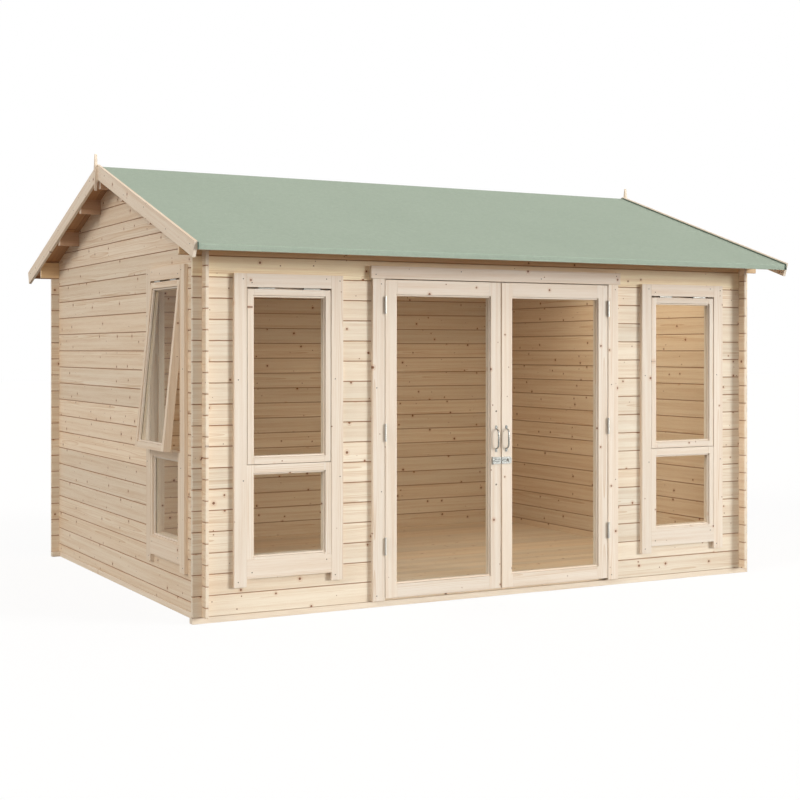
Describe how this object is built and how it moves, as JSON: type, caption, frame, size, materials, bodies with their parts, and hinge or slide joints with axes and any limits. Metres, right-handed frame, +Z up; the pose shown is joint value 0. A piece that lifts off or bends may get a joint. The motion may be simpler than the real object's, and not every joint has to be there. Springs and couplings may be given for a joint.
{
  "type": "log cabin",
  "caption": "Single-room garden log cabin with crossed corner logs, glazed double doors, tall windows, one of them tilted open, and a low apex roof of green felt.",
  "frame": {"origin": "middle of the cabin's box, on the ground", "axes": "+Z up, +X along the front wall to the right as seen from outside, -Y out of the front"},
  "size_m": [4.108, 3.502, 2.6984],
  "materials": {
    "logs": "planed, untreated spruce with small knots",
    "joinery": "planed, untreated spruce",
    "bearers": "sawn softwood",
    "floor": "tongued and grooved softwood boards",
    "roof_timber": "planed softwood",
    "bargeboards": "planed, untreated spruce",
    "roof_felt": "matt green mineral felt",
    "glass": "clear, smooth",
    "ironwork": "galvanised, dull"
  },
  "bodies": {
    "cabin": {"base_bearers": "bearers", "floor_boards": "floor", "front_wall_left_logs": "logs", "front_wall_right_logs": "logs", "front_wall_top_log": "logs", "back_wall_logs": "logs", "left_wall_logs": "logs", "right_wall_logs": "logs", "left_gable_logs": "logs", "right_gable_logs": "logs", "eave_logs": "logs", "ridge_purlin": "roof_timber", "purlins": "roof_timber", "front_roof_boards": "roof_timber", "back_roof_boards": "roof_timber", "front_roof_felt": "roof_felt", "back_roof_felt": "roof_felt", "eave_battens": "roof_timber", "left_bargeboards": "bargeboards", "right_bargeboards": "bargeboards", "finials": "bargeboards", "left_front_window_trim": "joinery", "left_front_window_frame": "joinery", "left_front_window_sashes": "joinery", "right_front_window_trim": "joinery", "right_front_window_frame": "joinery", "right_front_window_sashes": "joinery", "side_window_trim": "joinery", "side_window_frame": "joinery", "side_window_sashes": "joinery", "window_glass": "glass", "window_hinges": "ironwork", "door_frame": "joinery", "door_trim": "joinery", "door_hinge_pins": "ironwork"},
    "left_door": {"left_door_leaf": "joinery", "left_door_glass": "glass", "left_door_hinges": "ironwork", "left_door_handle": "ironwork", "left_door_hasp": "ironwork"},
    "right_door": {"right_door_leaf": "joinery", "right_door_glass": "glass", "right_door_hinges": "ironwork", "right_door_handle": "ironwork", "right_door_hasp": "ironwork"}
  },
  "joints": [
    {"name": "left_door_hinge", "type": "hinge", "parent": "cabin", "child": "left_door", "pos_m": [-0.7875, -1.4943, 1], "axis": [0, 0, -1], "range_deg": [0, 115]},
    {"name": "right_door_hinge", "type": "hinge", "parent": "cabin", "child": "right_door", "pos_m": [0.7875, -1.4943, 1], "axis": [0, 0, 1], "range_deg": [0, 115]}
  ]
}
